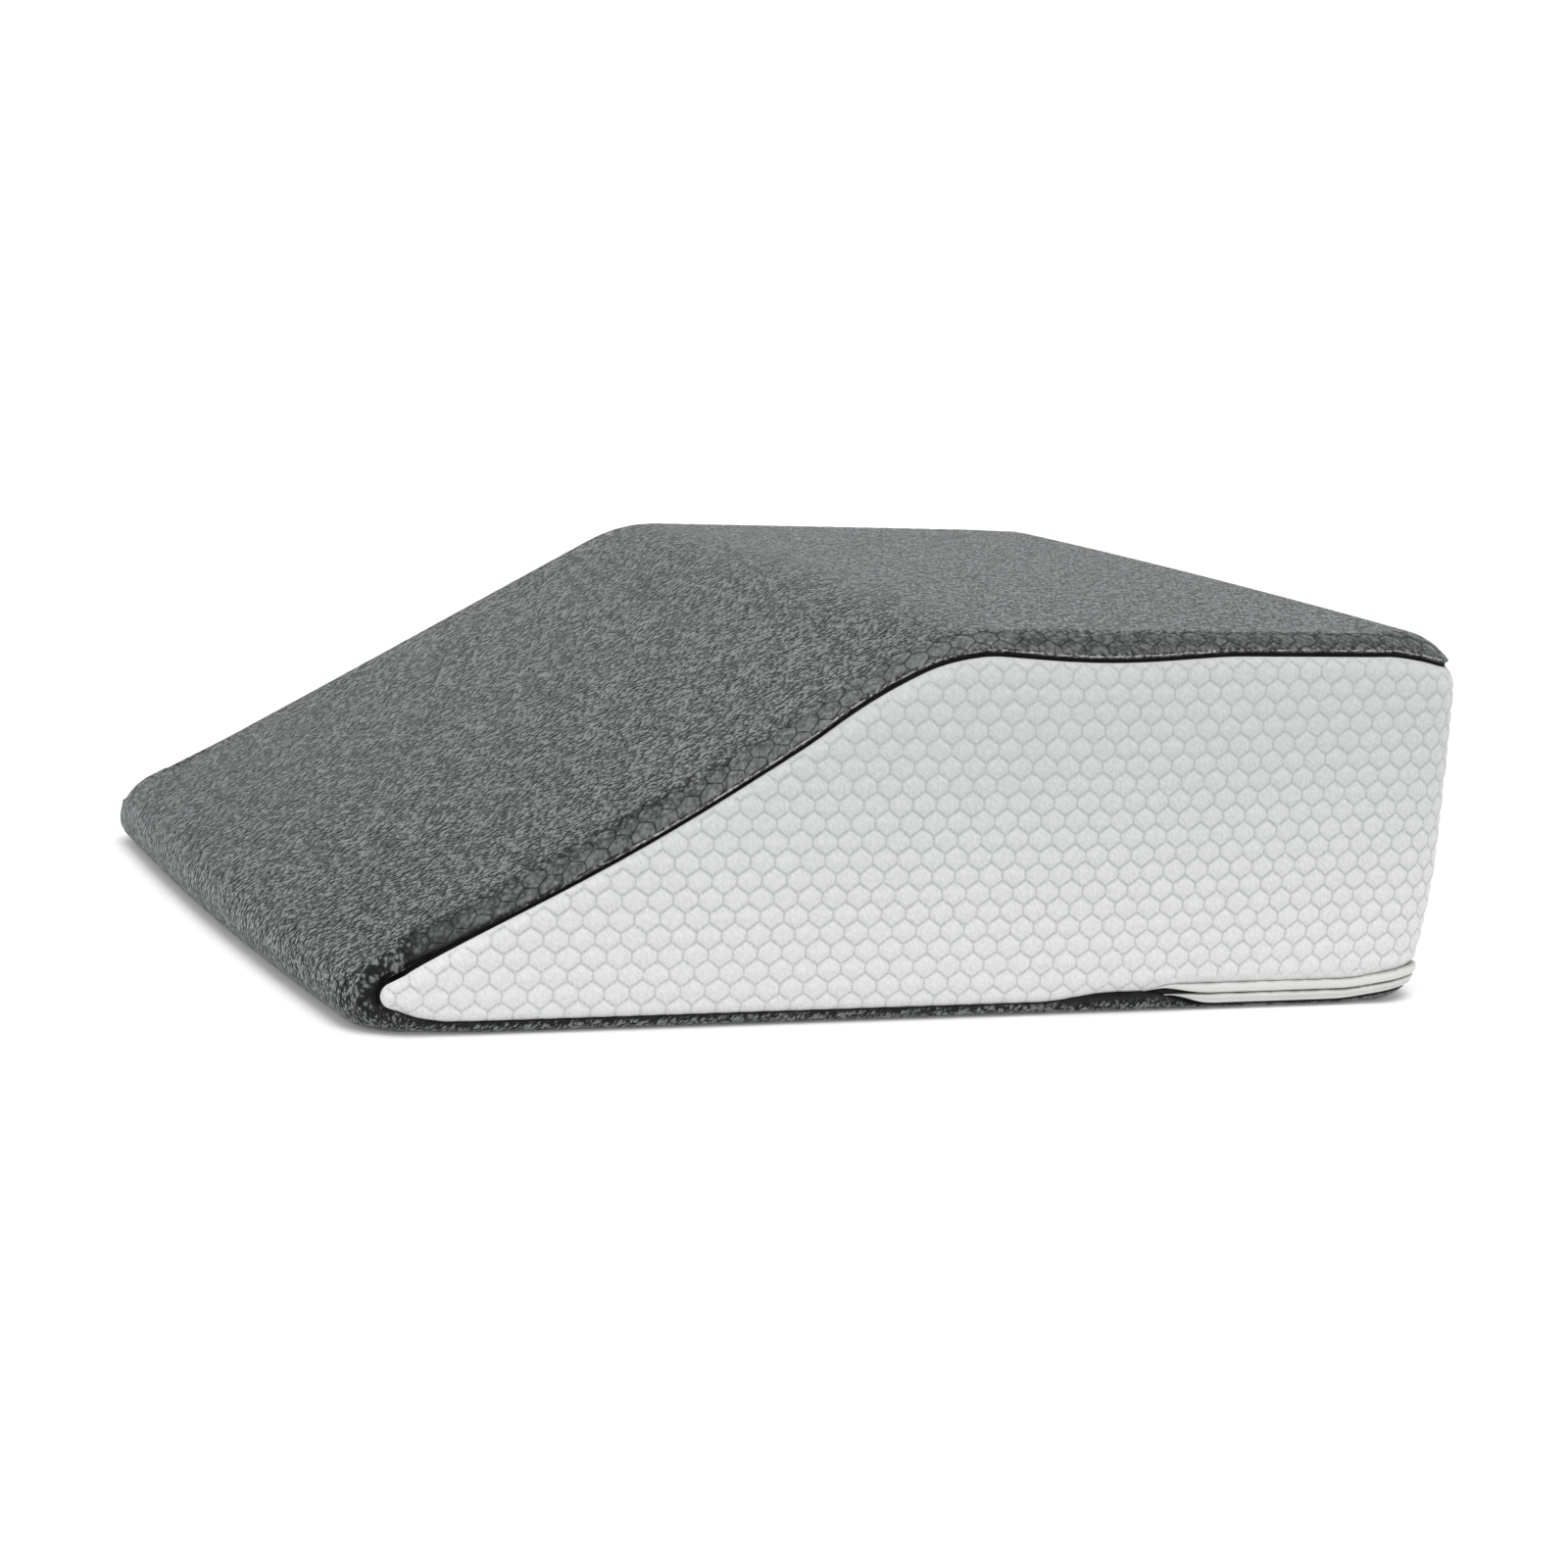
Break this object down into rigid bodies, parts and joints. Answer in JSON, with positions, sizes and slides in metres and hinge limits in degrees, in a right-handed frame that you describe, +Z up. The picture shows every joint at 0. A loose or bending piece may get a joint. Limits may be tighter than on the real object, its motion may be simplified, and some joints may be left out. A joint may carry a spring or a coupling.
{
  "type": "wedge pillow",
  "caption": "Filled cloth wedge with a flat top, for raising the legs in bed; grey cover, white quilted sides and back.",
  "frame": {"origin": "middle of the bounding box at the base, on the surface that the pillow rests on", "axes": "+X from the thin nose to the tall back, +Y across the width, +Z up"},
  "size_m": [0.6204, 0.5408, 0.2],
  "materials": {
    "grey_cloth": "knitted grey cloth with light and dark flecks",
    "white_quilt": "white cloth quilted in hexagons",
    "strip_cloth": "plain white folded cloth"
  },
  "bodies": {
    "root": {"cushion": "grey_cloth", "boxing_near": "white_quilt", "boxing_far": "white_quilt", "zip_strip_upper": "strip_cloth", "zip_strip_lower": "strip_cloth"}
  },
  "joints": []
}
